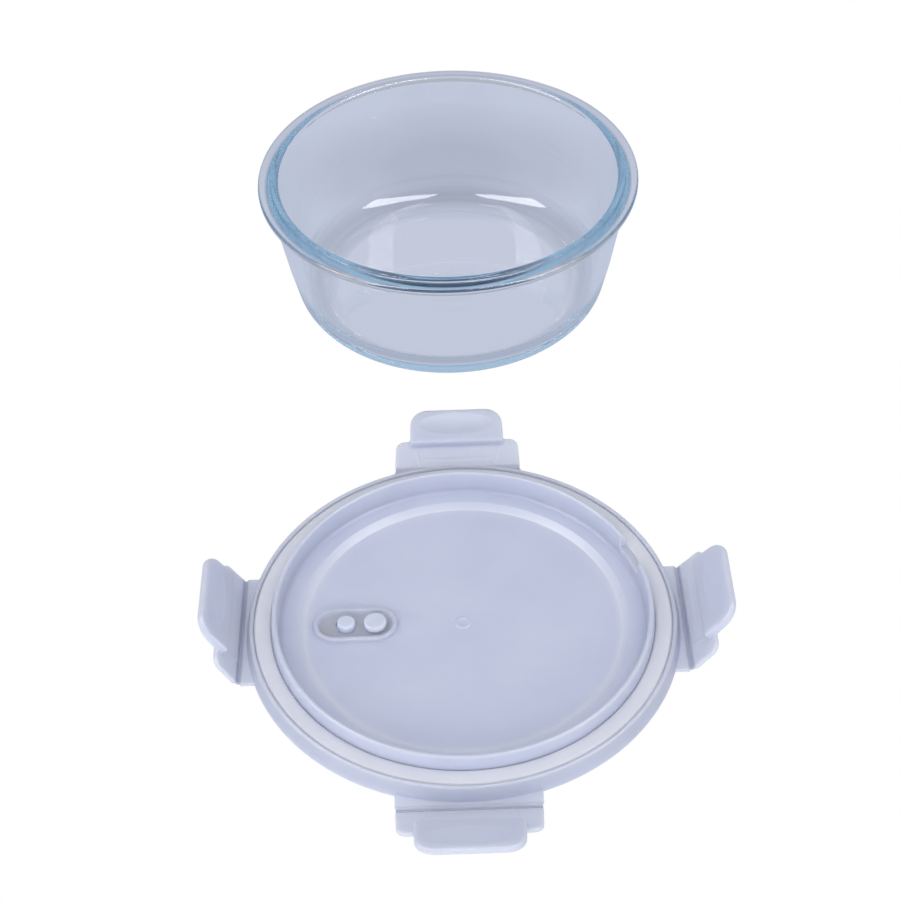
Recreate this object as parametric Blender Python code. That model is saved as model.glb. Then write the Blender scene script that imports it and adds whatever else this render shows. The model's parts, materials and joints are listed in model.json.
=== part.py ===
"""Round glass storage container with a four-flap snap lid, in metres, +Z up.

The bowl stands on z = 0 with its axis on the Z axis. The lid lies in front of it,
turned over, with its top face on z = 0 and its gasket side up.
"""

import math

import bmesh
import bpy
from mathutils import Matrix, Vector

MM = 0.001

# Driving dimensions, in millimetres.
SEGMENTS = 60            # facets around every turned piece
GAP = 0.3                # clearance between pieces that touch

RIM_TOP = 57.0           # height of the glass
FLANGE_R = 75.0          # widest radius of the glass rim
RIDGE_IN_R = 66.9        # sealing ridge on top of the rim, inner edge
RIDGE_OUT_R = 70.2       # sealing ridge, outer edge
RIDGE_HEIGHT = 1.1       # ridge above the flange's top land
FLANGE_LOW = 53.2        # height of the flange's lower edge
FLANGE_LOW_ROUND = 1.0   # rounding of the flange's lower edge
FLANGE_TOP_ROUND = 1.2   # rounding of its upper edge
NECK_FILLET = 1.2        # hollow corner between the wall and the flange
RIDGE_OUT_ROUND = 0.9
RIDGE_IN_ROUND = 1.4     # gives the lid's plug wall room as it swings in
RIDGE_FOOT = (0.5, 0.15) # width and height of the hollow foot outside the ridge
WALL_TOP_R = 71.3        # outer wall radius just under the flange
WALL_MID_Z = 30.0        # height at which the wall's mid radii are taken
WALL_MID_OUT_R = 67.5
WALL_MID_IN_R = 62.5
MOUTH_Z = 53.0           # the inner wall turns steeper above this height
MOUTH_R = 66.6
BASE_FLAT_R = 51.8       # radius of the flat base
BASE_CORNER_R = 11.8     # outer corner between base and wall
BASE_WALL_LEAN = 12.0    # degrees between the wall and the upright, at the corner
FLOOR_T = 4.6            # glass thickness at the base
FLOOR_FLAT_R = 47.1      # radius of the flat floor
INNER_CORNER_R = 13.0    # inner corner between floor and wall
INNER_WALL_LEAN = 10.5

LID_DISTANCE = 188.0     # from the bowl's axis to the lid's axis
SKIRT_LOW_R = 73.9       # lid body, widest radius near its top face
SKIRT_TOP_R = 72.5       # outer radius at the skirt's free edge
SKIRT_IN_R = 71.0        # inner face of the skirt
SKIRT_H = 7.2            # skirt height above the lid's top face
SKIRT_CORNER = 1.2       # rounding between the top face and the skirt
GROOVE_FLOOR = 1.8       # plastic thickness under the gasket
PLUG_BASE_R = 65.5       # plug wall, outer radius at the groove floor
PLUG_END_R = 64.5        # plug wall, outer radius at its free edge
PLUG_IN_R = 62.8         # plug wall, inner face
PLUG_H = 11.8            # plug wall height above the lid's top face
PANEL_R = 53.9           # radius of the flat centre panel's inner face
PANEL_T = 2.0            # thickness of the panel
STEP_H = 1.5             # the trough around the panel is this much lower
STEP_R = 56.3            # trough's inner radius
TROUGH_CORNER = 1.2      # rounding between the trough and the plug wall
PLUG_LEAN = 0.4          # the plug wall's inner face leans in by this much
TOP_RING_R = (52.5, 54.7, 62.4, 63.6)  # sloped edges of the top face's ring groove
NOTCH_FROM = 14.5        # release notch in the plug wall, in degrees from +X
NOTCH_TO = 27.0
NOTCH_BOTTOM = 6.9
NOTCH_R = (59.8, 66.0)   # the cut reaches past both sides of the plug wall
CUT_LOW = -1.0           # cutters reach from below the top face
CUT_HIGH = 20.0          # to above the plug wall

GASKET_TOP = 6.7         # gasket surface above the lid's top face
GASKET_IN_R = PLUG_BASE_R + GAP
GASKET_OUT_R = SKIRT_IN_R - GAP
GASKET_OUT_ROUND = 1.3
GASKET_IN_ROUND = 1.0

HINGE_R = 75.7           # living hinge line, from the lid's axis
HINGE_H = 1.1            # height of the hinge line above the lid's top face
HINGE_HALF_W = 23.4
HINGE_TAB_IN = 68.0      # the hinge tab starts inside the lid's body
HINGE_TAB_Z = (0.3, 1.7) # heights of the tab's two faces
WEB_W = 1.2              # width of the thin hinge film
WEB_T = 0.5              # its thickness
WEB_ROOM = 0.9           # from the hinge line to the plastic on either side
WEB_HALF_LENGTH = 22.6

FLAP_IN = 0.35           # flap's inner face, from the hinge plane
FLAP_OUT = -1.35         # flap's outer face, from the hinge plane
FLAP_SHOULDER = 12.6     # where the wide part of the flap ends
FLAP_HALF_W = (23.2, 22.9)  # at the hinge and at the shoulders' start
SHOULDER_ROUND = 4.2
FLAP_LENGTH = 24.6
TAB_HALF_W = 17.4
TAB_END_HALF_W = 17.0
TAB_ROUND = 6.0
TAB_START = 10.0         # the tab's near end snaps under the glass flange
TAB_IN = (3.4, 2.7)      # tab's inner face, at its near end and at its tip
TAB_OUT = (-0.4, 0.3)    # tab's outer face, at its near end and at its tip

FLAP_TILT = {            # rest tilt of each flap above the table
    "front": math.radians(19.5),
    "back": math.radians(18.0),
    "left": math.radians(60.0),
    "right": math.radians(52.0),
}
FLAP_TURN = {            # direction that each flap points in, about Z
    "front": math.pi,
    "back": 0.0,
    "left": math.pi / 2,
    "right": -math.pi / 2,
}

VENT_X = -36.7           # centre of the oval vent boss
VENT_LENGTH = 28.6
VENT_WIDTH = 14.6
VENT_WALL = 1.6
VENT_RISE = 1.2          # boss wall above the pocket's floor
POCKET_FLOOR = 2.4       # floor of the boss's pocket
BOSS_ROOT = 1.5          # the boss starts inside the panel
RECESS_DEPTH = 1.5       # oval recess in the lid's top face
ANCHOR_X = -29.9
SEAL_X = -39.8
FOLD_X = -33.6           # where the silicone bends
ANCHOR_HOLE_R = 2.4
SEAL_HOLE_R = 3.7
PLUG_PLATE_T = 1.0       # silicone plate in the recess
NUB_TOP = 4.7            # top of the silicone nubs
NUB_CHAMFER = 0.5
ANCHOR_NUB_R = (3.9, 3.2)     # at its base and at its top
SEAL_STEM_R = (3.1, 2.8, 2.2) # in the hole, at its shoulder and at its top

CLOSED_TOP = RIM_TOP + GAP + GASKET_TOP  # lid's top face when the lid is on

GLASS = ((0.74, 0.82, 0.90, 1.0), 0.03, 1.0)
PLASTIC = ((0.60, 0.66, 0.86, 1.0), 0.38, 0.35)
SILICONE = ((0.88, 0.88, 0.91, 1.0), 0.55, 0.0)


def clear_scene():
    for obj in list(bpy.data.objects):
        bpy.data.objects.remove(obj, do_unlink=True)


def material(name, finish):
    colour, roughness, transmission = finish
    made = bpy.data.materials.new(name)
    made.use_nodes = True
    shader = made.node_tree.nodes["Principled BSDF"]
    shader.inputs["Base Color"].default_value = colour
    shader.inputs["Roughness"].default_value = roughness
    shader.inputs["Metallic"].default_value = 0.0
    shader.inputs["Transmission Weight"].default_value = transmission
    return made


def arc(centre, radius, start, end, steps):
    """Points of an arc in the (r, z) plane, from start to end degrees."""
    points = []
    for i in range(steps + 1):
        angle = math.radians(start + (end - start) * i / steps)
        points.append(
            (centre[0] + radius * math.cos(angle), centre[1] + radius * math.sin(angle))
        )
    return points


def add_object(name, bm, finish, smooth_angle=35.0):
    """Closes a bmesh, in millimetres, into an object in metres."""
    bmesh.ops.recalc_face_normals(bm, faces=bm.faces[:])
    bmesh.ops.scale(bm, vec=(MM, MM, MM), verts=bm.verts[:])
    mesh = bpy.data.meshes.new(name)
    bm.to_mesh(mesh)
    bm.free()
    mesh.shade_smooth()
    mesh.set_sharp_from_angle(angle=math.radians(smooth_angle))
    obj = bpy.data.objects.new(name, mesh)
    bpy.context.scene.collection.objects.link(obj)
    if finish:
        mesh.materials.append(material(name, finish))
    return obj


def turned(name, profile, finish, closed):
    """Spins an (r, z) outline about Z. An open outline starts and ends on the axis."""
    bm = bmesh.new()
    verts = [bm.verts.new((r, 0.0, z)) for r, z in profile]
    edges = [bm.edges.new(pair) for pair in zip(verts, verts[1:])]
    if closed:
        edges.append(bm.edges.new((verts[-1], verts[0])))
    bmesh.ops.spin(
        bm,
        geom=verts + edges,
        cent=(0, 0, 0),
        axis=(0, 0, 1),
        angle=2 * math.pi,
        steps=SEGMENTS,
        use_merge=True,
    )
    bmesh.ops.remove_doubles(bm, verts=bm.verts[:], dist=1e-4)
    return add_object(name, bm, finish)


def prism(bm, outline, low, high):
    """Adds a straight solid between the heights low and high above an (x, y) outline."""
    face = bm.faces.new([bm.verts.new((x, y, low)) for x, y in outline])
    pushed = bmesh.ops.extrude_face_region(bm, geom=[face])
    tops = [v for v in pushed["geom"] if isinstance(v, bmesh.types.BMVert)]
    bmesh.ops.translate(bm, vec=(0, 0, high - low), verts=tops)


def oval(length, width, steps=8):
    """Outline of the vent's slot with round ends, along X."""
    radius = width / 2
    reach = length / 2 - radius
    right = arc((VENT_X + reach, 0), radius, -90, 90, steps)
    left = arc((VENT_X - reach, 0), radius, 90, 270, steps)
    return right + left


def circle(centre_x, radius, steps=20):
    return arc((centre_x, 0), radius, 0, 360, steps)[:-1]


def cutter(name, outline, low, high):
    bm = bmesh.new()
    prism(bm, outline, low, high)
    obj = add_object(name, bm, None)
    obj.hide_render = True
    obj.display_type = "WIRE"
    return obj


def boolean(obj, other, operation):
    change = obj.modifiers.new(f"{operation.lower()}_{other.name}", "BOOLEAN")
    change.operation = operation
    change.solver = "EXACT"
    change.object = other


def axis_empty(name, location, rotation=(0.0, 0.0, 0.0), parent=None):
    """An empty on a joint's axis; what moves about that axis is parented to it."""
    empty = bpy.data.objects.new(name, None)
    bpy.context.scene.collection.objects.link(empty)
    empty.parent = parent
    empty.location = Vector(location) * MM
    empty.rotation_euler = rotation
    return empty


def attach(obj, parent, location=(0.0, 0.0, 0.0)):
    obj.parent = parent
    obj.location = Vector(location) * MM


def glass_bowl():
    """Flat base, round corner, tapered wall, and a rim with a sealing ridge."""
    land = RIM_TOP - RIDGE_HEIGHT
    foot_w, foot_h = RIDGE_FOOT
    low, top, neck = FLANGE_LOW_ROUND, FLANGE_TOP_ROUND, NECK_FILLET
    base = (BASE_FLAT_R, BASE_CORNER_R)
    floor = (FLOOR_FLAT_R, FLOOR_T + INNER_CORNER_R)
    ridge_out = (RIDGE_OUT_R - RIDGE_OUT_ROUND, RIM_TOP - RIDGE_OUT_ROUND)
    ridge_in = (RIDGE_IN_R + RIDGE_IN_ROUND, RIM_TOP - RIDGE_IN_ROUND)
    profile = [(0, 0)]
    profile += arc(base, BASE_CORNER_R, -90, -BASE_WALL_LEAN, 7)
    profile.append((WALL_MID_OUT_R, WALL_MID_Z))
    profile += arc((WALL_TOP_R + neck, FLANGE_LOW - neck), neck, 180, 90, 3)
    profile += arc((FLANGE_R - low, FLANGE_LOW + low), low, -90, 0, 3)
    profile += arc((FLANGE_R - top, land - top), top, 0, 90, 3)
    profile += [(RIDGE_OUT_R + foot_w, land), (RIDGE_OUT_R, land + foot_h)]
    profile += arc(ridge_out, RIDGE_OUT_ROUND, 0, 90, 3)
    profile += arc(ridge_in, RIDGE_IN_ROUND, 90, 180, 4)
    profile += [(MOUTH_R, MOUTH_Z), (WALL_MID_IN_R, WALL_MID_Z)]
    profile += arc(floor, INNER_CORNER_R, -INNER_WALL_LEAN, -90, 6)
    profile.append((0, FLOOR_T))
    return turned("glass_bowl", profile, GLASS, closed=False)


def lid_profile():
    """Half section of the lid, upside down, from its top face to its inner face."""
    trough = PANEL_T + STEP_H
    corner = SKIRT_CORNER
    skirt_end = (SKIRT_TOP_R - SKIRT_IN_R) / 2
    plug_end = (PLUG_END_R - PLUG_IN_R) / 2
    inside = PLUG_IN_R - PLUG_LEAN - TROUGH_CORNER
    ring = zip(TOP_RING_R, (0, STEP_H, STEP_H, 0))
    profile = [(0, 0), *ring]
    profile += arc((SKIRT_LOW_R - corner, corner), corner, -90, 0, 4)
    profile += arc((SKIRT_TOP_R - skirt_end, SKIRT_H - skirt_end), skirt_end, 0, 180, 6)
    profile += [(SKIRT_IN_R, GROOVE_FLOOR), (PLUG_BASE_R, GROOVE_FLOOR)]
    profile += arc((PLUG_END_R - plug_end, PLUG_H - plug_end), plug_end, 0, 180, 6)
    profile += arc((inside, trough + TROUGH_CORNER), TROUGH_CORNER, 0, -90, 3)
    profile += [(STEP_R, trough), (PANEL_R, PANEL_T), (0, PANEL_T)]
    return profile


def hinge_tab_outline(turn):
    """Tab from the skirt out to the hinge line, pointing along +Y, then turned."""
    outer = HINGE_R - WEB_ROOM
    corners = [
        (-HINGE_HALF_W, HINGE_TAB_IN),
        (HINGE_HALF_W, HINGE_TAB_IN),
        (HINGE_HALF_W, outer),
        (-HINGE_HALF_W, outer),
    ]
    spin = Matrix.Rotation(turn, 2)
    return [tuple(spin @ Vector(corner)) for corner in corners]


def lid_shell(frame):
    """The lid's moulding, with its tabs, vent boss, holes and release notch."""
    lid = turned("lid_shell", lid_profile(), PLASTIC, closed=False)
    for side, turn in FLAP_TURN.items():
        tab = cutter(f"tab_{side}", hinge_tab_outline(turn), *HINGE_TAB_Z)
        boolean(lid, tab, "UNION")
    oval_size = (VENT_LENGTH, VENT_WIDTH)
    boss = cutter("vent_boss", oval(*oval_size), BOSS_ROOT, POCKET_FLOOR + VENT_RISE)
    boolean(lid, boss, "UNION")
    inside = [size - 2 * VENT_WALL for size in oval_size]
    pocket = cutter("vent_pocket", oval(*inside), POCKET_FLOOR, CUT_HIGH)
    recess = cutter("vent_recess", oval(*inside), CUT_LOW, RECESS_DEPTH)
    anchor = cutter("anchor_hole", circle(ANCHOR_X, ANCHOR_HOLE_R), CUT_LOW, CUT_HIGH)
    seal = cutter("seal_hole", circle(SEAL_X, SEAL_HOLE_R), CUT_LOW, CUT_HIGH)
    notch = cutter("release_notch", notch_outline(), NOTCH_BOTTOM, CUT_HIGH)
    for tool in (pocket, recess, anchor, seal, notch):
        boolean(lid, tool, "DIFFERENCE")
    attach(lid, frame)
    for change in lid.modifiers:
        attach(change.object, frame)


def notch_outline():
    """A sector of a ring that takes away the plug wall between two angles."""
    inner = arc((0, 0), NOTCH_R[0], NOTCH_FROM, NOTCH_TO, 4)
    outer = arc((0, 0), NOTCH_R[1], NOTCH_TO, NOTCH_FROM, 4)
    return inner + outer


def gasket_ring(frame):
    """Silicone ring with a softly rounded top."""
    low = GROOVE_FLOOR + GAP
    outer, inner = GASKET_OUT_ROUND, GASKET_IN_ROUND
    profile = [(GASKET_IN_R, low), (GASKET_OUT_R, low)]
    profile += arc((GASKET_OUT_R - outer, GASKET_TOP - outer), outer, 0, 90, 3)
    profile += arc((GASKET_IN_R + inner, GASKET_TOP - inner), inner, 90, 180, 3)
    attach(turned("gasket_ring", profile, SILICONE, closed=True), frame)


def half_oval(side):
    """Outline of the vent plug's plate on one side of its fold."""
    length = VENT_LENGTH - 2 * VENT_WALL - 2 * GAP
    width = VENT_WIDTH - 2 * VENT_WALL - 2 * GAP
    reach = length / 2 - width / 2
    if side > 0:
        points = arc((VENT_X + reach, 0), width / 2, -90, 90, 8)
    else:
        points = arc((VENT_X - reach, 0), width / 2, 90, 270, 8)
    edge = FOLD_X + side * GAP / 2
    return points + [(edge, side * width / 2), (edge, -side * width / 2)]


def stem(name, centre_x, sections):
    """A turned stem on its own axis: sections are (radius, height) pairs."""
    bm = bmesh.new()
    rings = []
    for radius, height in sections:
        outline = circle(centre_x, radius)
        rings.append([bm.verts.new((x, y, height)) for x, y in outline])
    for low, high in zip(rings, rings[1:]):
        for i in range(len(low)):
            j = (i + 1) % len(low)
            bm.faces.new((low[i], low[j], high[j], high[i]))
    bm.faces.new(rings[0])
    bm.faces.new(rings[-1])
    obj = add_object(name, bm, None)
    obj.hide_render = True
    obj.display_type = "WIRE"
    return obj


def plug_half(name, side, stem_obj, parent, offset):
    """One half of the vent plug: a plate in the top recess and its stem."""
    bm = bmesh.new()
    prism(bm, half_oval(side), GAP, GAP + PLUG_PLATE_T)
    plate = add_object(name, bm, SILICONE)
    boolean(plate, stem_obj, "UNION")
    attach(plate, parent, offset)
    attach(stem_obj, parent, offset)


def vent_plug(frame):
    """The silicone plug, cut at its fold into a fixed half and a lifting half."""
    plate_top = GAP + PLUG_PLATE_T
    root = plate_top - GAP
    under = POCKET_FLOOR + GAP
    shoulder = NUB_TOP - NUB_CHAMFER
    anchor_sections = [
        (ANCHOR_HOLE_R - GAP, root),
        (ANCHOR_HOLE_R - GAP, under),
        (ANCHOR_NUB_R[0], under),
        (ANCHOR_NUB_R[0], shoulder),
        (ANCHOR_NUB_R[1], NUB_TOP),
    ]
    seal_sections = [
        (SEAL_STEM_R[0], root),
        (SEAL_STEM_R[0], under),
        (SEAL_STEM_R[1], shoulder),
        (SEAL_STEM_R[2], NUB_TOP),
    ]
    anchor = stem("anchor_stem", ANCHOR_X, anchor_sections)
    plug_half("vent_anchor", 1, anchor, frame, (0, 0, 0))
    fold = (FOLD_X, 0, GAP)
    fold_axis = axis_empty("vent_fold_axis", fold, parent=frame)
    seal = stem("seal_stem", SEAL_X, seal_sections)
    plug_half("vent_flap", -1, seal, fold_axis, tuple(-c for c in fold))


def mirrored(half):
    """Closes an outline by repeating its right half on the left."""
    return half + [(-x, y) for x, y in reversed(half)]


def flap_outline():
    """Wide part of a flap, from the hinge room to its rounded shoulders."""
    at_hinge, at_shoulder = FLAP_HALF_W
    corner = (at_shoulder - SHOULDER_ROUND, FLAP_SHOULDER - SHOULDER_ROUND)
    return mirrored([(at_hinge, WEB_ROOM)] + arc(corner, SHOULDER_ROUND, 0, 90, 4))


def tab_outline():
    """Finger tab with rounded ends, from its latching edge to the flap's tip."""
    corner = (TAB_END_HALF_W - TAB_ROUND, FLAP_LENGTH - TAB_ROUND)
    return mirrored([(TAB_HALF_W, TAB_START)] + arc(corner, TAB_ROUND, 0, 90, 5))


def flap_tab():
    """Thick finger tab, thinner at its tip, whose near end is the latch's edge."""
    bm = bmesh.new()
    prism(bm, tab_outline(), -1.0, 1.0)
    for vert in bm.verts:
        near, tip = TAB_IN if vert.co.z > 0 else TAB_OUT
        share = (vert.co.y - TAB_START) / (FLAP_LENGTH - TAB_START)
        vert.co.z = near + (tip - near) * share
    return add_object("flap_tab", bm, None)


def flap_mesh():
    """Mesh that the four flaps share: X along the hinge, Y along the flap."""
    bm = bmesh.new()
    prism(bm, flap_outline(), FLAP_OUT, FLAP_IN)
    base = add_object("flap_base", bm, None)
    tab = flap_tab()
    boolean(base, tab, "UNION")
    bpy.context.view_layer.update()
    graph = bpy.context.evaluated_depsgraph_get()
    joined = bpy.data.meshes.new_from_object(base.evaluated_get(graph))
    for obj in (base, tab):
        bpy.data.objects.remove(obj, do_unlink=True)
    joined.shade_smooth()
    joined.set_sharp_from_angle(angle=math.radians(35.0))
    joined.materials.clear()
    joined.materials.append(material("flap_plastic", PLASTIC))
    return joined


def hinge_web(name, parent):
    """The thin film between a tab and its flap, on the hinge line."""
    bm = bmesh.new()
    corners = mirrored([(WEB_HALF_LENGTH, -WEB_W / 2), (WEB_HALF_LENGTH, WEB_W / 2)])
    prism(bm, corners, -WEB_T / 2, WEB_T / 2)
    attach(add_object(name, bm, PLASTIC), parent)


def flaps(frame):
    mesh = flap_mesh()
    for side, turn in FLAP_TURN.items():
        outward = Matrix.Rotation(turn, 2) @ Vector((0, HINGE_R))
        point = (outward.x, outward.y, HINGE_H)
        line = axis_empty(f"hinge_line_{side}", point, (0, 0, turn), frame)
        hinge_web(f"hinge_web_{side}", line)
        tilt = axis_empty(f"flap_axis_{side}", (0, 0, 0), (FLAP_TILT[side], 0, 0), line)
        flap = bpy.data.objects.new(f"latch_flap_{side}", mesh)
        bpy.context.scene.collection.objects.link(flap)
        attach(flap, tilt)


def main():
    clear_scene()
    glass_bowl()
    turn_axis = (0, -LID_DISTANCE / 2, CLOSED_TOP / 2)
    lid_axis = axis_empty("lid_turn_axis", turn_axis)
    lid_frame = axis_empty(
        "lid_frame", (0, -LID_DISTANCE / 2, -CLOSED_TOP / 2), parent=lid_axis
    )
    lid_shell(lid_frame)
    gasket_ring(lid_frame)
    vent_plug(lid_frame)
    flaps(lid_frame)


main()
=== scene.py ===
"""Looks of a round glass storage container with a snap lid, around its CAD frame."""

import json
import math

import bmesh
import bpy
from mathutils import Matrix, Vector

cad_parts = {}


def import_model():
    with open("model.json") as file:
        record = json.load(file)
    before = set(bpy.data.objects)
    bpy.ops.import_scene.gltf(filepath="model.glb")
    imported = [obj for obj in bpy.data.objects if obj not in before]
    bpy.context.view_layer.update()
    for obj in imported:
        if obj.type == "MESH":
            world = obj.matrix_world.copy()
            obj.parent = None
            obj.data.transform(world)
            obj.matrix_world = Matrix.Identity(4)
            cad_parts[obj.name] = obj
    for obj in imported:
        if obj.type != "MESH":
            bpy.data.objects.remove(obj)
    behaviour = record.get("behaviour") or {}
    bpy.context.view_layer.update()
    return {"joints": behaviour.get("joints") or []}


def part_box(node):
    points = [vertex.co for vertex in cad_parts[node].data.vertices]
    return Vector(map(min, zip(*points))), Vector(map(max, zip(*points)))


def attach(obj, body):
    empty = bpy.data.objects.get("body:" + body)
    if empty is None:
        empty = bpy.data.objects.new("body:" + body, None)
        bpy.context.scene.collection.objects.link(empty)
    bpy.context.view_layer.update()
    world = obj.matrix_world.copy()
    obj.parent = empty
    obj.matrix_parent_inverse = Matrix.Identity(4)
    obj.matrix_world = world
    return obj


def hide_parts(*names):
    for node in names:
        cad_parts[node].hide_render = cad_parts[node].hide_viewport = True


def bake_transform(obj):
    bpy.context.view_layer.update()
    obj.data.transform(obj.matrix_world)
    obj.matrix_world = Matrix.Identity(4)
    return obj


MM = 0.001
FINE = 192          # facets around every turned piece

# Bowl, in millimetres.
RIM_TOP = 57.0
FLANGE_R = 75.0
FLANGE_LOW = 53.2
RIDGE_IN_R, RIDGE_OUT_R = 66.9, 70.2
RIDGE_HEIGHT = 1.1
WALL_TOP_R = 71.3
WALL_MID_Z, WALL_MID_OUT_R, WALL_MID_IN_R = 30.0, 67.5, 62.5
MOUTH_Z, MOUTH_R = 53.0, 66.6
BASE_FLAT_R, BASE_CORNER_R = 51.8, 11.8
LOWER_WALL_OUT, LOWER_WALL_IN = (66.1, 22.0), (61.0, 21.5)   # (r, z) of the wall's lower stretch
UPPER_WALL_OUT, UPPER_WALL_IN = (69.9, 44.0), (65.0, 44.0)   # and of its upper stretch
FLANGE_ROUND, FLANGE_LOW_ROUND = 1.2, 1.0
RIDGE_ROUND_IN, RIDGE_ROUND_OUT = 1.4, 0.9
FOOT_R, FOOT_DEPTH = (46.0, 50.5), 0.25  # the base is hollowed inside its foot ring
FLOOR_T, FLOOR_FLAT_R, INNER_CORNER_R = 4.6, 47.1, 13.0

# Lid, in millimetres above its own top face, on which it lies.
SKIRT_LOW_R, SKIRT_TOP_R, SKIRT_IN_R = 73.9, 72.5, 71.0
SKIRT_H, SKIRT_ROUND = 7.2, 1.2
GROOVE_FLOOR = 1.8
PLUG_BASE_R, PLUG_END_R, PLUG_IN_R = 65.5, 64.5, 62.8
PLUG_H = 11.8
PANEL_R, PANEL_T = 53.9, 2.0
TROUGH_R, TROUGH_Z = 56.3, 3.5
RING_DEPTH = 1.5
TOP_RING_R = (52.5, 54.7, 62.4, 63.6)
SHADE_EDGE = 0.3    # flat border that keeps a smooth corner's shading off a wide face
NOTCH_FROM, NOTCH_TO, NOTCH_BOTTOM = 14.5, 27.0, 6.9    # degrees, degrees, millimetres
NOTCH_R = (59.8, 66.2)
GATE_RING = ((2.9, -0.8), (2.9, 0.05), (2.6, 0.3), (2.1, 0.32), (1.7, 0.1))  # (r, above panel)
THROUGH = 20.0      # above everything on the lid, for cutting tools
GASKET_TOP, GASKET_LIFT = 6.7, 0.3
GASKET_SQUEEZE, GASKET_ROUND = (0.5, 0.05), (1.0, 1.3)    # at its inner and its outer side
HINGE_R = 75.7
HINGE_HALF_W = 23.4
HINGE_TAB_Z = (0.3, 1.7)
HINGE_TAB_IN_R = 68.0
WEB_ROOM = 0.9      # from a hinge line to the thick plastic on either side
FILM_HALF_W, FILM_LAP = 23.0, 0.25    # the film reaches this far past its room
FILM_TOP, FILM_UNDER = 0.10, 0.24     # from the hinge line, where the film is thinnest
FILM_RISE, FILM_SWELL = (0.42, 0.22), 0.30    # added at its ends, above and below

# Flap, in millimetres: x along the hinge, y out from it, z towards the glass.
FLAP_TURN = {"front": math.pi, "back": 0.0, "left": math.pi / 2, "right": -math.pi / 2}
FLAP_LENGTH = 24.6
FLAP_HALF_W = (23.2, 22.9)
FLAP_Z = (-1.35, 0.35)
FLAP_SHOULDER, SHOULDER_ROUND = 12.6, 3.4
TAB_START, TAB_ROUND, TAB_HALF_W = 10.0, 6.5, 17.2
TAB_IN = (3.4, 2.7)      # tab's inner face, at its near end and at its tip
TAB_OUT = (-0.4, 0.3)    # tab's outer face, at its near end and at its tip
TAB_EDGE = 0.8
DISH_Y, DISH_HALF, DISH_DEPTH = 18.2, (14.0, 4.6), 0.55
BOW_Y, BOW_CURVE, BOW_HALF_W = 4.4, 0.003, 13.2          # bowed rib beside the hinge
BOW_HEIGHT, BOW_SPREAD = 0.16, 0.45
BRACE_X, BRACE_SLOPE, BRACE_END_Y = 13.4, 0.22, 8.0      # slanted rib at either end of it
BRACE_HEIGHT, BRACE_SPREAD = 0.20, 0.35

# Vent, in millimetres from the lid's axis.
VENT_X = -36.7
VENT_LENGTH, VENT_WIDTH, VENT_WALL = 28.6, 14.6, 1.6
POCKET_FLOOR, VENT_RISE, RECESS_DEPTH = 2.4, 1.2, 1.5
ANCHOR_X, SEAL_X, FOLD_X = -29.9, -39.8, -33.6
ANCHOR_HOLE_R, SEAL_HOLE_R = 2.4, 3.7
ANCHOR_R, SEAL_R = 3.9, 3.1
PLATE_Z = (0.3, 1.3)
PLUG_GAP = 0.3      # between the plug and the lid
NUB_TOP, NUB_ROUND, NUB_EDGE_Z = 4.7, 0.9, 0.7
BOSS_ROUND = (0.8, 0.4)      # across and upwards
POCKET_ROUND = (1.2, 0.6)

# Plastic and silicone, from their darker to their lighter clouds.
LID_TONES = (0.505, 0.54, 0.68, 1.0), (0.54, 0.57, 0.705, 1.0)
# Flaps: a lighter copy of the lid's plastic, partly for their thicker, whiter plastic and partly
# painted light for the light that their tilted faces miss.
FLAP_TONES_THICK_AND_PAINTED_LIGHT = (0.54, 0.57, 0.70, 1.0), (0.57, 0.60, 0.72, 1.0)
GASKET_TONES = (0.65, 0.67, 0.75, 1.0), (0.69, 0.71, 0.79, 1.0)
PLUG_TONES = (0.55, 0.59, 0.72, 1.0), (0.59, 0.63, 0.76, 1.0)

# Studio. Distances are in metres.
FLOOR_LIGHT = (0.55, 0.59, 0.72, 1.0)
DEEP_SHADE = (0.015, 0.035, 0.08, 1.0)     # painted shadow: dark navy floor in front, under the bowl, as rays trapped in the glass see it
DEEP_AFTER = 4.5                         # bounces after which a ray counts as trapped
DEEP_CENTRE, DEEP_SIZE = (0.0, -0.14, 0.0), (0.095, 0.16, 0.1)
DEEP_GAIN = 2.5
TRAPPED_WALL = (0.05, 0.09, 0.17, 1.0)   # low walls beside and behind, to the same rays
TRAPPED_SKY = (0.95, 0.87, 0.90, 1.0)    # walls and ceiling, as those rays see them
CONTACT_SHADE = (0.42, 0.46, 0.57, 1.0)  # under the round edge of the bowl's base
CONTACT_R = (0.080, 0.072, 0.062, 0.056, 0.046)
BACK_SHADE = (0.78, 0.78, 0.80, 1.0)     # multiplies the floor's light behind the bowl
BACK_CENTRE, BACK_SIZE = (0.0, 0.088, 0.0), (0.085, 0.050, 0.1)
HORIZON = (0.12, 0.12, 0.15, 1.0)
CEILING = (0.46, 0.48, 0.53, 1.0)
HORIZON_Z = (0.10, 0.30)    # where the horizon's tone ends and the ceiling's starts
FRONT_Y, OVERHEAD_Z = (-0.20, -0.45), (0.35, 0.55)    # directions that trapped rays see light
GLASS_BOUNCES = 32
LENS, SENSOR = 74.22, 36.0
CAMERA_PLACE = (-0.00126, -0.6060, 0.4810)
CAMERA_TURN = (-0.0027, 0.7603, -0.0347)    # yaw, downward pitch and roll, in radians


# ---------------------------------------------------------------- mesh helpers


def arc(centre, radius, start, end, steps):
    """Points of an arc from start to end degrees."""
    points = []
    for i in range(steps + 1):
        angle = math.radians(start + (end - start) * i / steps)
        points.append(
            (centre[0] + radius * math.cos(angle), centre[1] + radius * math.sin(angle))
        )
    return points


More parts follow.
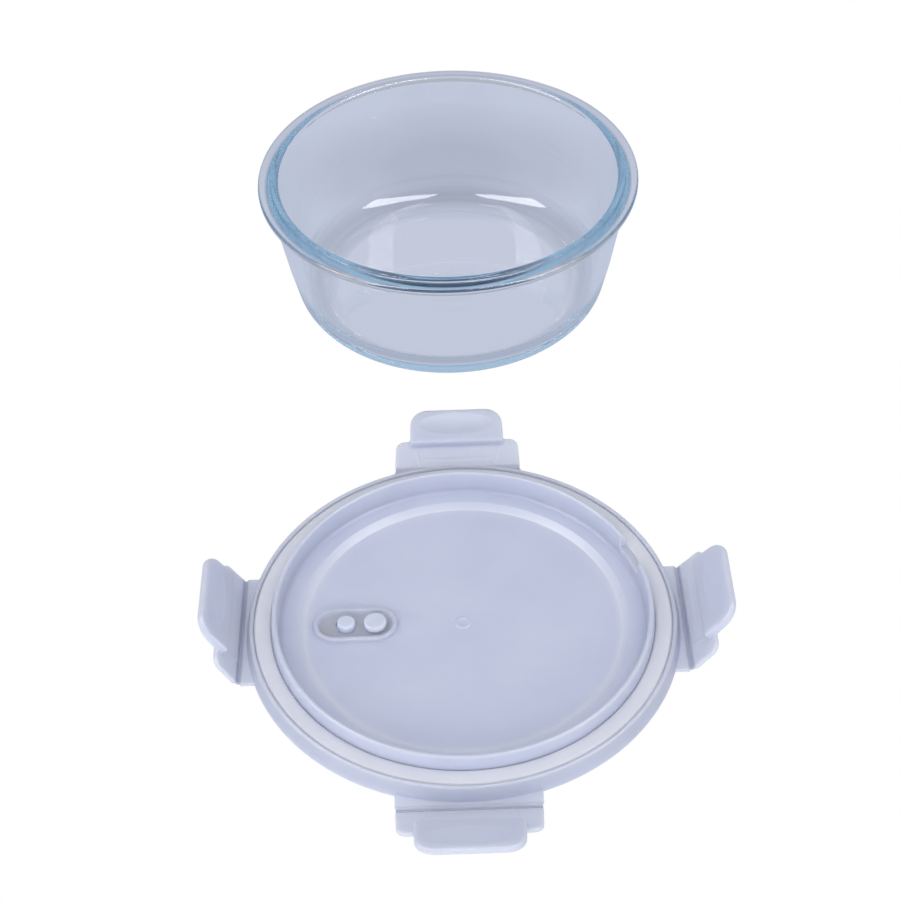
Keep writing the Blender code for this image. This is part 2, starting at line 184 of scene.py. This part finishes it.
def finish_mesh(name, bm, place=None, smooth=40.0):
    """Turns a bmesh in millimetres into a smooth-shaded object in metres."""
    bmesh.ops.recalc_face_normals(bm, faces=bm.faces[:])
    if place:
        bmesh.ops.transform(bm, matrix=place, verts=bm.verts[:])
    bmesh.ops.scale(bm, vec=(MM, MM, MM), verts=bm.verts[:])
    mesh = bpy.data.meshes.new(name)
    bm.to_mesh(mesh)
    bm.free()
    mesh.shade_smooth()
    mesh.set_sharp_from_angle(angle=math.radians(smooth))
    obj = bpy.data.objects.new(name, mesh)
    bpy.context.scene.collection.objects.link(obj)
    return obj


def skin(bm, loops):
    """Joins equal loops of points into a tube and caps its two ends."""
    made = [[bm.verts.new(p) for p in loop] for loop in loops]
    for low, high in zip(made, made[1:]):
        for i in range(len(low)):
            j = (i + 1) % len(low)
            bm.faces.new((low[i], low[j], high[j], high[i]))
    bm.faces.new(made[0])
    bm.faces.new(made[-1])


def lathe(name, profile, place=None, closed=False):
    """Turns an (r, z) outline about Z. An open outline starts and ends on the axis."""
    bm = bmesh.new()
    verts = [bm.verts.new((r, 0.0, z)) for r, z in profile]
    edges = [bm.edges.new(pair) for pair in zip(verts, verts[1:])]
    if closed:
        edges.append(bm.edges.new((verts[-1], verts[0])))
    bmesh.ops.spin(
        bm,
        geom=verts + edges,
        cent=(0, 0, 0),
        axis=(0, 0, 1),
        angle=2 * math.pi,
        steps=FINE,
        use_merge=True,
    )
    bmesh.ops.remove_doubles(bm, verts=bm.verts[:], dist=1e-4)
    return finish_mesh(name, bm, place)


def slot_loop(centre_x, length, width, z, steps=16):
    """A slot with round ends, along X, as points at height z."""
    radius = width / 2
    reach = length / 2 - radius
    flat = arc((centre_x + reach, 0), radius, -90, 90, steps)
    flat += arc((centre_x - reach, 0), radius, 90, 270, steps)
    return [(x, y, z) for x, y in flat]


def disc_loop(centre_x, radius, z, steps=40):
    return [(x, y, z) for x, y in arc((centre_x, 0), radius, 0, 360, steps)[:-1]]


def loft(name, loops, place=None):
    bm = bmesh.new()
    skin(bm, loops)
    return finish_mesh(name, bm, place)


def cut(obj, other, operation="DIFFERENCE"):
    """Applies one exact Boolean and removes the tool."""
    change = obj.modifiers.new("cut", "BOOLEAN")
    change.operation = operation
    change.solver = "EXACT"
    change.object = other
    bake(obj)
    bpy.data.objects.remove(other, do_unlink=True)


def bake(obj):
    """Applies every modifier of the object to its mesh."""
    graph = bpy.context.evaluated_depsgraph_get()
    mesh = bpy.data.meshes.new_from_object(obj.evaluated_get(graph))
    obj.modifiers.clear()
    obj.data = mesh


def smooth_shading(obj, angle=40.0):
    obj.data.shade_smooth()
    obj.data.set_sharp_from_angle(angle=math.radians(angle))


# ------------------------------------------------------------------- materials


def new_material(name):
    made = bpy.data.materials.new(name)
    made.use_nodes = True
    tree = made.node_tree
    shader = tree.nodes["Principled BSDF"]
    return made, tree, shader


def noise(tree, scale, detail=3.0, roughness=0.5):
    place = tree.nodes.new("ShaderNodeTexCoord")
    node = tree.nodes.new("ShaderNodeTexNoise")
    node.inputs["Scale"].default_value = scale
    node.inputs["Detail"].default_value = detail
    node.inputs["Roughness"].default_value = roughness
    tree.links.new(place.outputs["Object"], node.inputs["Vector"])
    return node


def ramp(tree, source, low, high, low_colour, high_colour):
    """A two-stop colour ramp read from the source's factor."""
    node = tree.nodes.new("ShaderNodeValToRGB")
    node.color_ramp.elements[0].position = low
    node.color_ramp.elements[1].position = high
    node.color_ramp.elements[0].color = low_colour
    node.color_ramp.elements[1].color = high_colour
    tree.links.new(source, node.inputs["Fac"])
    return node


def bump(tree, shader, source, strength, distance):
    node = tree.nodes.new("ShaderNodeBump")
    node.inputs["Strength"].default_value = strength
    node.inputs["Distance"].default_value = distance
    tree.links.new(source, node.inputs["Height"])
    tree.links.new(node.outputs["Normal"], shader.inputs["Normal"])


def glass_material():
    """Clear borosilicate whose long light paths turn blue, with a faint press ripple."""
    made, tree, shader = new_material("clear_glass")
    shader.inputs["Base Color"].default_value = (1.0, 1.0, 1.0, 1.0)
    shader.inputs["Roughness"].default_value = 0.0
    shader.inputs["IOR"].default_value = 1.474
    shader.inputs["Transmission Weight"].default_value = 1.0
    tint = tree.nodes.new("ShaderNodeVolumeAbsorption")
    tint.inputs["Color"].default_value = (0.30, 0.66, 0.85, 1.0)
    tint.inputs["Density"].default_value = 7.0
    tree.links.new(tint.outputs["Volume"], tree.nodes["Material Output"].inputs["Volume"])
    ripple = noise(tree, 45.0, detail=1.0)
    bump(tree, shader, ripple.outputs["Fac"], 0.015, 0.0006)
    return made


def plastic_material(name, low_colour, high_colour, scatter=0.006):
    """Milky lavender-blue polypropylene with slight clouding and a satin grain."""
    made, tree, shader = new_material(name)
    cloud = noise(tree, 38.0, detail=4.0)
    tone = ramp(tree, cloud.outputs["Fac"], 0.3, 0.7, low_colour, high_colour)
    tree.links.new(tone.outputs["Color"], shader.inputs["Base Color"])
    shader.inputs["Roughness"].default_value = 0.40
    shader.inputs["IOR"].default_value = 1.49
    shader.inputs["Transmission Weight"].default_value = 0.12
    shader.inputs["Subsurface Weight"].default_value = 0.8
    shader.inputs["Subsurface Radius"].default_value = (1.0, 1.0, 1.0)
    shader.inputs["Subsurface Scale"].default_value = scatter
    grain = noise(tree, 2600.0, detail=2.0)
    bump(tree, shader, grain.outputs["Fac"], 0.10, 0.0001)
    return made


def silicone_material(name, low_colour, high_colour):
    """Soft whitish rubber with faint clouding and a fine grain."""
    made, tree, shader = new_material(name)
    cloud = noise(tree, 60.0, detail=3.0)
    tone = ramp(tree, cloud.outputs["Fac"], 0.3, 0.7, low_colour, high_colour)
    tree.links.new(tone.outputs["Color"], shader.inputs["Base Color"])
    shader.inputs["Roughness"].default_value = 0.5
    shader.inputs["Subsurface Weight"].default_value = 0.8
    shader.inputs["Subsurface Radius"].default_value = (1.0, 1.0, 1.0)
    shader.inputs["Subsurface Scale"].default_value = 0.004
    grain = noise(tree, 3000.0, detail=2.0)
    bump(tree, shader, grain.outputs["Fac"], 0.12, 0.0001)
    return made


def dress(obj, material, body=None):
    """Gives a piece its material and slot, and the body that it moves with."""
    obj.data.materials.clear()
    obj.data.materials.append(material)
    if body:
        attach(obj, body)


# ---------------------------------------------------------------------- pieces


def bowl_profile():
    """Half section of the glass, from the base's centre round to the floor's."""
    land = RIM_TOP - RIDGE_HEIGHT
    profile = [(0, FOOT_DEPTH)]
    for i in range(9):
        r = FOOT_R[0] + (FOOT_R[1] - FOOT_R[0]) * i / 8
        profile.append((r, FOOT_DEPTH * (0.5 + 0.5 * math.cos(math.pi * i / 8))))
    profile += arc((BASE_FLAT_R, BASE_CORNER_R), BASE_CORNER_R, -90, -12, 24)
    profile += [LOWER_WALL_OUT, (WALL_MID_OUT_R, WALL_MID_Z), UPPER_WALL_OUT]
    large, small = FLANGE_ROUND, FLANGE_LOW_ROUND
    profile += arc((WALL_TOP_R + large, FLANGE_LOW - large), large, 180, 90, 6)
    profile += arc((FLANGE_R - small, FLANGE_LOW + small), small, -90, 0, 6)
    profile += arc((FLANGE_R - large, land - large), large, 0, 90, 6)
    profile += [(RIDGE_OUT_R + 0.5, land), (RIDGE_OUT_R + 0.05, land + 0.15)]
    large, small = RIDGE_ROUND_IN, RIDGE_ROUND_OUT
    profile += arc((RIDGE_OUT_R - small, RIM_TOP - small), small, 0, 90, 8)
    profile += arc((RIDGE_IN_R + large, RIM_TOP - large), large, 90, 180, 10)
    profile += [(MOUTH_R, MOUTH_Z), UPPER_WALL_IN, (WALL_MID_IN_R, WALL_MID_Z), LOWER_WALL_IN]
    profile += arc((FLOOR_FLAT_R, FLOOR_T + INNER_CORNER_R), INNER_CORNER_R, -10.5, -90, 18)
    profile.append((0, FLOOR_T))
    return profile


def glass_bowl(materials):
    bowl = lathe("glass_bowl_fine", bowl_profile())
    dress(bowl, materials["glass"], "bowl")
    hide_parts("glass_bowl")


def lid_profile():
    """Half section of the lid, upside down, from its top face to its inner face."""
    skirt_end = (SKIRT_TOP_R - SKIRT_IN_R) / 2
    plug_end = (PLUG_END_R - PLUG_IN_R) / 2
    profile = [(0, 0), (TOP_RING_R[0] - SHADE_EDGE, 0)]
    profile += [*zip(TOP_RING_R, (0, RING_DEPTH, RING_DEPTH, 0)), (TOP_RING_R[3] + SHADE_EDGE, 0)]
    profile += arc((SKIRT_LOW_R - SKIRT_ROUND, SKIRT_ROUND), SKIRT_ROUND, -90, 0, 8)
    profile += arc((SKIRT_TOP_R - skirt_end, SKIRT_H - skirt_end), skirt_end, 0, 180, 12)
    profile += [(SKIRT_IN_R, GROOVE_FLOOR), (PLUG_BASE_R, GROOVE_FLOOR)]
    profile += arc((PLUG_END_R - plug_end, PLUG_H - plug_end), plug_end, 0, 180, 12)
    profile += arc((PLUG_IN_R - 2.0, TROUGH_Z + 1.6), 1.6, 0, -90, 8)
    profile += arc((TROUGH_R + 0.3, TROUGH_Z - 0.3), 0.3, 90, 140, 4)
    profile += arc((PANEL_R - 0.2, PANEL_T + 0.3), 0.3, -40, -90, 4)
    profile += [(PANEL_R - 0.8, PANEL_T), (0, PANEL_T)]
    return profile


def hinge_tab(turn, place):
    """Tab from the skirt to a hinge, pointing along +Y before the turn."""
    outer = HINGE_R - WEB_ROOM
    outline = mirrored([(HINGE_HALF_W, HINGE_TAB_IN_R), (HINGE_HALF_W, outer)])
    turned = place @ Matrix.Rotation(turn, 4, "Z")
    return slab("hinge_tab", outline, *HINGE_TAB_Z, edge=0.3, place=turned)


def vent_boss(place):
    """Oval boss on the lid's inner face, with a fillet at its foot and a round upper edge."""
    across, up = BOSS_ROUND
    top = POCKET_FLOOR + VENT_RISE
    length, width = VENT_LENGTH, VENT_WIDTH
    loops = [slot_loop(VENT_X, length + 1.6, width + 1.6, 1.4)]
    loops.append(slot_loop(VENT_X, length + 1.6, width + 1.6, PANEL_T - 0.02))
    loops.append(slot_loop(VENT_X, length + 0.7, width + 0.7, PANEL_T + 0.12))
    loops.append(slot_loop(VENT_X, length + 0.1, width + 0.1, PANEL_T + 0.5))
    for step in range(6):
        angle = math.radians(90 * step / 5)
        grow = across * (math.cos(angle) - 1)
        height = top - up * (1 - math.sin(angle))
        loops.append(slot_loop(VENT_X, length + grow, width + grow, height))
    return loft("vent_boss", loops, place)


def vent_pocket(place):
    """Tool that hollows the boss, with a round edge at the pocket's floor."""
    across, up = POCKET_ROUND
    length, width = VENT_LENGTH - 2 * VENT_WALL, VENT_WIDTH - 2 * VENT_WALL
    loops = []
    for step in range(5):
        angle = math.radians(90 * step / 4)
        grow = -across * (1 - math.sin(angle))
        height = POCKET_FLOOR + up * (1 - math.cos(angle))
        loops.append(slot_loop(VENT_X, length + grow, width + grow, height))
    top = POCKET_FLOOR + VENT_RISE
    loops.append(slot_loop(VENT_X, length, width, top - 0.4))
    loops.append(slot_loop(VENT_X, length + 0.4, width + 0.4, top - 0.1))
    loops.append(slot_loop(VENT_X, length + 1.6, width + 1.6, top + 1.0))
    return loft("vent_pocket", loops, place)


def notch_tool(place):
    """A sector that takes away the plug wall between two angles."""
    flat = arc((0, 0), NOTCH_R[0], NOTCH_FROM, NOTCH_TO, 8)
    flat += arc((0, 0), NOTCH_R[1], NOTCH_TO, NOTCH_FROM, 8)
    loops = [[(x, y, z) for x, y in flat] for z in (NOTCH_BOTTOM, THROUGH)]
    return loft("notch", loops, place)


def gate_mark(place):
    """Shallow ring that a moulding gate leaves at the lid's centre."""
    loops = [disc_loop(0, r, PANEL_T + height) for r, height in GATE_RING]
    return loft("gate_mark", loops, place)


def lid_shell(materials, place):
    lid = lathe("lid_moulding", lid_profile(), place)
    for turn in FLAP_TURN.values():
        cut(lid, hinge_tab(turn, place), "UNION")
    cut(lid, vent_boss(place), "UNION")
    cut(lid, gate_mark(place), "UNION")
    cut(lid, vent_pocket(place))
    size = (VENT_LENGTH - 2 * VENT_WALL, VENT_WIDTH - 2 * VENT_WALL)
    recess = [slot_loop(VENT_X, *size, z) for z in (-1.0, RECESS_DEPTH)]
    cut(lid, loft("recess", recess, place))
    for centre_x, radius in ((ANCHOR_X, ANCHOR_HOLE_R), (SEAL_X, SEAL_HOLE_R)):
        cut(lid, loft("hole", [disc_loop(centre_x, radius, z) for z in (-1.0, THROUGH)], place))
    cut(lid, notch_tool(place))
    smooth_shading(lid)
    dress(lid, materials["plastic"], "lid")
    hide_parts("lid_shell")


def gasket_ring(materials, place):
    """Silicone ring with round upper edges, squeezed a little by the walls of its groove."""
    low = GROOVE_FLOOR + GASKET_LIFT
    inner, outer = PLUG_BASE_R - GASKET_SQUEEZE[0], SKIRT_IN_R + GASKET_SQUEEZE[1]
    near, far = GASKET_ROUND
    profile = [(inner, low), (outer, low)]
    profile += arc((outer - far, GASKET_TOP - far), far, 0, 90, 10)
    profile += arc((inner + near, GASKET_TOP - near), near, 90, 180, 10)
    ring = lathe("silicone_gasket", profile, place, closed=True)
    dress(ring, materials["silicone"], "lid")
    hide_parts("gasket_ring")


def plate_half(side):
    """Half of the vent plug's plate, cut straight at the fold."""
    length = VENT_LENGTH - 2 * (VENT_WALL + PLUG_GAP)
    width = VENT_WIDTH - 2 * (VENT_WALL + PLUG_GAP)
    reach = length / 2 - width / 2
    if side > 0:
        points = arc((VENT_X + reach, 0), width / 2, -90, 90, 16)
    else:
        points = arc((VENT_X - reach, 0), width / 2, 90, 270, 16)
    edge = FOLD_X + side * 0.15
    flat = points + [(edge, side * width / 2), (edge, -side * width / 2)]
    return [[(x, y, z) for x, y in flat] for z in PLATE_Z]


def vent_plug(materials, place):
    """White plug in two halves: each is a plate in the top recess and a round nub."""
    root, under = PLATE_Z[1] - 0.3, POCKET_FLOOR + PLUG_GAP
    stem_r = ANCHOR_HOLE_R - PLUG_GAP
    anchor_foot = ((stem_r, root), (stem_r, under), (ANCHOR_R, under))
    seal_foot = ((SEAL_R, root), (SEAL_R, under))
    halves = (
        ("vent_anchor", 1, ANCHOR_X, anchor_foot, ANCHOR_R, "lid"),
        ("vent_flap", -1, SEAL_X, seal_foot, SEAL_R, "vent"),
    )
    for node, side, centre_x, foot, radius, body in halves:
        half = loft(f"{node}_fine", plate_half(side), place)
        loops = [disc_loop(centre_x, r, z) for r, z in foot]
        for step in range(7):
            angle = math.radians(90 * step / 6)
            r = radius - NUB_ROUND * (1 - math.cos(angle))
            height = NUB_TOP - NUB_EDGE_Z * (1 - math.sin(angle))
            loops.append(disc_loop(centre_x, r, height))
        loops.append(disc_loop(centre_x, radius * 0.4, NUB_TOP))
        cut(half, loft("nub", loops, place), "UNION")
        smooth_shading(half)
        dress(half, materials["plug_silicone"], body)
        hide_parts(node)


def mirrored(half):
    return half + [(-x, y) for x, y in reversed(half)]


def slab(name, outline, low, high, edge=0.35, place=None):
    """A flat solid above an outline, with its upper and lower edges rounded."""
    centre = Vector((0, sum(y for _, y in outline) / len(outline)))
    loops = []
    steps = 3
    for step in range(steps + 1):
        angle = math.radians(90 * step / steps)
        loops.append((edge * (1 - math.sin(angle)), low + edge * (1 - math.cos(angle))))
    for step in range(steps + 1):
        angle = math.radians(90 * step / steps)
        loops.append((edge * (1 - math.cos(angle)), high - edge * (1 - math.sin(angle))))
    made = []
    for inset, z in loops:
        loop = []
        for i, (x, y) in enumerate(outline):
            before, after = Vector(outline[i - 1]), Vector(outline[(i + 1) % len(outline)])
            along = (after - before).normalized()
            out = Vector((along.y, -along.x))
            if out.dot(Vector((x, y)) - centre) < 0:
                out = -out
            loop.append((x - out.x * inset, y - out.y * inset, z))
        made.append(loop)
    return loft(name, made, place)


def flap_base():
    at_hinge, at_shoulder = FLAP_HALF_W
    corner = (at_shoulder - SHOULDER_ROUND, FLAP_SHOULDER - SHOULDER_ROUND)
    half = [(at_hinge, WEB_ROOM)] + arc(corner, SHOULDER_ROUND, 0, 90, 8)
    return slab("flap_base", mirrored(half), *FLAP_Z)


def flap_tab():
    """Thick finger tab, thinner at its tip, whose near end snaps under the rim."""
    corner = (TAB_HALF_W - TAB_ROUND, FLAP_LENGTH - TAB_ROUND)
    half = [(TAB_HALF_W + 0.2, TAB_START)] + arc(corner, TAB_ROUND, 0, 90, 14)
    tab = slab("flap_tab", mirrored(half), TAB_OUT[0], TAB_IN[0], edge=TAB_EDGE)
    for vert in tab.data.vertices:
        share = (vert.co.y / MM - TAB_START) / (FLAP_LENGTH - TAB_START)
        height = (vert.co.z / MM - TAB_OUT[0]) / (TAB_IN[0] - TAB_OUT[0])
        low = TAB_OUT[0] + (TAB_OUT[1] - TAB_OUT[0]) * share
        high = TAB_IN[0] + (TAB_IN[1] - TAB_IN[0]) * share
        vert.co.z = (low + (high - low) * height) * MM
    return tab


def flap_relief(mesh):
    """Presses the finger dish and raises the fine ribs on a flap's inner face."""
    for vert in mesh.vertices:
        if vert.normal.z < 0.5:
            continue
        x, y = vert.co.x / MM, vert.co.y / MM
        dish = max(0.0, 1 - (x / DISH_HALF[0]) ** 2 - ((y - DISH_Y) / DISH_HALF[1]) ** 2)
        rise = -DISH_DEPTH * dish
        if abs(x) < BOW_HALF_W:
            from_bow = y - BOW_Y - BOW_CURVE * x * x
            rise += BOW_HEIGHT * math.exp(-((from_bow / BOW_SPREAD) ** 2))
        if y < BRACE_END_Y:
            from_brace = abs(x) - BRACE_X - BRACE_SLOPE * y
            rise += BRACE_HEIGHT * math.exp(-((from_brace / BRACE_SPREAD) ** 2))
        vert.co.z += rise * MM


def flap_mesh():
    """One moulded flap: the parts are fused, then their meeting edges are softened."""
    flap = flap_base()
    cut(flap, flap_tab(), "UNION")
    soften = flap.modifiers.new("remesh", "REMESH")
    soften.mode = "VOXEL"
    soften.voxel_size = 0.00032
    soften.use_smooth_shade = True
    relax = flap.modifiers.new("relax", "CORRECTIVE_SMOOTH")
    relax.factor = 0.6
    relax.iterations = 8
    relax.smooth_type = "SIMPLE"
    relax.use_only_smooth = True
    bake(flap)
    mesh = flap.data
    bpy.data.objects.remove(flap, do_unlink=True)
    flap_relief(mesh)
    mesh.shade_smooth()
    return mesh


def hinge_strip(side, line, tilt, materials):
    """Thin film with a crease, which bends between the lid's tab and a flap."""
    steps, half, reach = 16, FILM_HALF_W, WEB_ROOM + FILM_LAP
    bm = bmesh.new()
    loops = []
    for i in range(steps + 1):
        y = reach * (2 * i / steps - 1)
        away = abs(y) / reach
        above = FILM_TOP + FILM_RISE[0 if y < 0 else 1] * away**0.7
        below = FILM_UNDER + FILM_SWELL * away**3
        edge = [(half, -below), (half, above), (-half, above), (-half, -below)]
        loops.append([(x, y, z) for x, z in edge])
    skin(bm, loops)
    strip = finish_mesh(f"hinge_strip_{side}", bm)
    bend_strip(strip, line, tilt, reach * MM)
    dress(strip, materials["hinge_film"])
    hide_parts(f"hinge_web_{side}")
    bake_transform(strip)


def bend_strip(strip, line, tilt, reach):
    """Bends the flat strip to the rest angle, then moves it to its hinge line."""
    for vert in strip.data.vertices:
        share = min(max(vert.co.y / reach * 0.5 + 0.5, 0.0), 1.0)
        share = share * share * (3 - 2 * share)
        vert.co = Matrix.Rotation(share * tilt, 3, "X") @ vert.co
    strip.data.transform(line)


def flaps(materials, joints):
    mesh = flap_mesh()
    for side, turn in FLAP_TURN.items():
        joint = joints[f"flap_{side}_hinge"]
        line = Matrix.Translation(joint["pos_m"]) @ Matrix.Rotation(turn, 4, "Z")
        tilt = math.radians(-joint["range_deg"][0])
        flap = bpy.data.objects.new(f"flap_{side}_fine", mesh.copy())
        bpy.context.scene.collection.objects.link(flap)
        flap.data.transform(line @ Matrix.Rotation(tilt, 4, "X"))
        dress(flap, materials["flap_plastic"], f"flap_{side}")
        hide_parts(f"latch_flap_{side}")
        hinge_strip(side, line, tilt, materials)


# ----------------------------------------------------------------- surroundings


def camera():
    """Camera at the photograph's height and angle, turned very slightly."""
    data = bpy.data.cameras.new("camera")
    data.lens, data.sensor_width = LENS, SENSOR
    obj = bpy.data.objects.new("camera", data)
    bpy.context.scene.collection.objects.link(obj)
    yaw, pitch, roll = CAMERA_TURN
    forward = Vector(
        (math.sin(yaw) * math.cos(pitch), math.cos(yaw) * math.cos(pitch), -math.sin(pitch))
    )
    right = Vector((math.cos(yaw), -math.sin(yaw), 0))
    up = right.cross(forward)
    x = math.cos(roll) * right + math.sin(roll) * up
    y = -math.sin(roll) * right + math.cos(roll) * up
    turn = Matrix((x, y, -forward)).transposed().to_4x4()
    obj.matrix_world = Matrix.Translation(CAMERA_PLACE) @ turn
    bpy.context.scene.camera = obj


def softbox(name, location, size, power, lights_matt, lights_gloss):
    """An area light aimed between the bowl and the lid."""
    data = bpy.data.lights.new(name, "AREA")
    data.shape = "RECTANGLE"
    data.size, data.size_y = size
    data.energy = power
    obj = bpy.data.objects.new(name, data)
    bpy.context.scene.collection.objects.link(obj)
    obj.location = location
    aim = Vector((0, -0.09, 0.02)) - Vector(location)
    obj.rotation_euler = aim.to_track_quat("-Z", "Y").to_euler()
    obj.visible_diffuse = lights_matt
    obj.visible_glossy = lights_gloss
    obj.visible_transmission = False


def two_tone(tree, lighting, *white_to):
    """White to the named kinds of ray; every other ray sees the lighting colour."""
    path = tree.nodes.new("ShaderNodeLightPath")
    mix = tree.nodes.new("ShaderNodeMix")
    mix.data_type = "RGBA"
    mix.inputs["B"].default_value = (1.0, 1.0, 1.0, 1.0)
    tree.links.new(lighting, mix.inputs["A"])
    kinds = [path.outputs[kind] for kind in white_to]
    tree.links.new(calculate(tree, "MAXIMUM", *kinds), mix.inputs["Factor"])
    return mix.outputs["Result"]


def calculate(tree, operation, first, second):
    """One clamped Math node. The second input is a socket or a number."""
    node = tree.nodes.new("ShaderNodeMath")
    node.operation = operation
    node.use_clamp = True
    tree.links.new(first, node.inputs[0])
    if isinstance(second, float):
        node.inputs[1].default_value = second
    else:
        tree.links.new(second, node.inputs[1])
    return node.outputs["Value"]


def rising(tree, source, start, end):
    """A factor that goes from 0 to 1 as the source goes from start to end."""
    node = tree.nodes.new("ShaderNodeMapRange")
    node.inputs["From Min"].default_value = start
    node.inputs["From Max"].default_value = end
    tree.links.new(source, node.inputs["Value"])
    return node.outputs["Result"]


def trapped_tone(tree, lighting, tone, share=None):
    """The lighting colour, but the given tone to rays that were trapped in the glass."""
    path = tree.nodes.new("ShaderNodeLightPath")
    trapped = calculate(tree, "GREATER_THAN", path.outputs["Ray Depth"], DEEP_AFTER)
    if share:
        trapped = calculate(tree, "MULTIPLY", trapped, share)
    mix = tree.nodes.new("ShaderNodeMix")
    mix.data_type = "RGBA"
    if isinstance(tone, tuple):
        mix.inputs["B"].default_value = tone
    else:
        tree.links.new(tone, mix.inputs["B"])
    tree.links.new(lighting, mix.inputs["A"])
    tree.links.new(trapped, mix.inputs["Factor"])
    return mix.outputs["Result"]


def round_spot(tree, centre, size):
    """A factor that is 1 at the centre and falls to 0 at the size's distance from it."""
    place = tree.nodes.new("ShaderNodeTexCoord")
    shift = tree.nodes.new("ShaderNodeMapping")
    shift.vector_type = "TEXTURE"
    shift.inputs["Location"].default_value = centre
    shift.inputs["Scale"].default_value = size
    spot = tree.nodes.new("ShaderNodeTexGradient")
    spot.gradient_type = "SPHERICAL"
    tree.links.new(place.outputs["Object"], shift.inputs["Vector"])
    tree.links.new(shift.outputs["Vector"], spot.inputs["Vector"])
    return spot.outputs["Fac"]


def floor():
    """White floor. The glass sees it greyer, with painted shadows behind and under the bowl."""
    bm = bmesh.new()
    bmesh.ops.create_grid(bm, x_segments=1, y_segments=1, size=4000.0)
    obj = finish_mesh("floor", bm, Matrix.Translation((0, 0, -0.3)))
    made = bpy.data.materials.new("pale_floor")
    made.use_nodes = True
    tree = made.node_tree
    tree.nodes.remove(tree.nodes["Principled BSDF"])
    # Painted shadows: a darker ring under the round edge of the bowl's base, and a darker patch
    # behind the bowl.
    reach = CONTACT_R[0]
    under = round_spot(tree, (0, 0, 0), (reach, reach, reach))
    ring = ramp(tree, under, 0.0, 1.0, FLOOR_LIGHT, FLOOR_LIGHT)
    tones = (FLOOR_LIGHT, CONTACT_SHADE, CONTACT_SHADE, FLOOR_LIGHT)
    for radius, tone in zip(CONTACT_R[1:], tones):
        ring.color_ramp.elements.new(1 - radius / reach).color = tone
    behind = round_spot(tree, BACK_CENTRE, BACK_SIZE)
    shade = ramp(tree, behind, 0.0, 0.7, (1.0, 1.0, 1.0, 1.0), BACK_SHADE)
    both = tree.nodes.new("ShaderNodeMix")
    both.data_type = "RGBA"
    both.blend_type = "MULTIPLY"
    both.inputs["Factor"].default_value = 1.0
    tree.links.new(ring.outputs["Color"], both.inputs["A"])
    tree.links.new(shade.outputs["Color"], both.inputs["B"])
    # Painted shadow: rays trapped in the glass see the floor in front of and under the bowl as
    # dark navy.
    in_front = round_spot(tree, DEEP_CENTRE, DEEP_SIZE)
    in_front = calculate(tree, "MULTIPLY", in_front, DEEP_GAIN)
    seen = trapped_tone(tree, both.outputs["Result"], DEEP_SHADE, in_front)
    glow = tree.nodes.new("ShaderNodeEmission")
    tone = two_tone(tree, seen, "Is Camera Ray", "Is Diffuse Ray")
    tree.links.new(tone, glow.inputs["Color"])
    tree.links.new(glow.outputs["Emission"], tree.nodes["Material Output"].inputs["Surface"])
    obj.data.materials.append(made)


def world():
    """Bright walls and ceiling over a dark horizon, which draws lines in the glass."""
    made = bpy.data.worlds.new("studio")
    bpy.context.scene.world = made
    made.use_nodes = True
    tree = made.node_tree
    place = tree.nodes.new("ShaderNodeTexCoord")
    axes = tree.nodes.new("ShaderNodeSeparateXYZ")
    tree.links.new(place.outputs["Generated"], axes.inputs["Vector"])
    shade = ramp(tree, axes.outputs["Z"], *HORIZON_Z, HORIZON, CEILING)
    in_front = rising(tree, axes.outputs["Y"], *FRONT_Y)
    overhead = rising(tree, axes.outputs["Z"], *OVERHEAD_Z)
    light = calculate(tree, "MAXIMUM", in_front, overhead)
    trapped = ramp(tree, light, 0.0, 1.0, TRAPPED_WALL, TRAPPED_SKY)
    seen = trapped_tone(tree, shade.outputs["Color"], trapped.outputs["Color"])
    lighting = two_tone(tree, seen, "Is Camera Ray", "Is Diffuse Ray")
    tree.links.new(lighting, tree.nodes["Background"].inputs["Color"])


def lights():
    """Two tall strips that only show in the gloss, and a weak key for the matt parts."""
    softbox("strip_left", (-1.20, -0.24, 1.73), (0.55, 1.8), 33, False, True)
    softbox("strip_right", (0.98, -0.36, 1.82), (0.55, 1.8), 33, False, True)
    softbox("key", (-0.3, -1.6, 0.6), (1.2, 0.8), 11, True, False)


def light_paths():
    """Lets a ray be reflected many times inside the glass before it is dropped."""
    cycles = bpy.context.scene.cycles
    cycles.max_bounces = GLASS_BOUNCES
    cycles.glossy_bounces = GLASS_BOUNCES
    cycles.transmission_bounces = GLASS_BOUNCES


def main():
    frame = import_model()
    bpy.context.scene.view_settings.view_transform = "Standard"
    light_paths()
    joints = {joint["name"]: joint for joint in frame["joints"]}
    low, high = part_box("gasket_ring")
    centre = (low + high) / 2
    place = Matrix.Translation((centre.x / MM, centre.y / MM, 0))
    materials = {
        "glass": glass_material(),
        "plastic": plastic_material("milky_polypropylene", *LID_TONES),
        "flap_plastic": plastic_material("milky_polypropylene_thick_painted_light", *FLAP_TONES_THICK_AND_PAINTED_LIGHT),
        "hinge_film": plastic_material("milky_polypropylene_thin", *LID_TONES, scatter=0.0003),
        "silicone": silicone_material("white_silicone", *GASKET_TONES),
        "plug_silicone": silicone_material("bluish_silicone", *PLUG_TONES),
    }
    camera()
    glass_bowl(materials)
    lid_shell(materials, place)
    gasket_ring(materials, place)
    vent_plug(materials, place)
    flaps(materials, joints)
    floor()
    world()
    lights()


main()
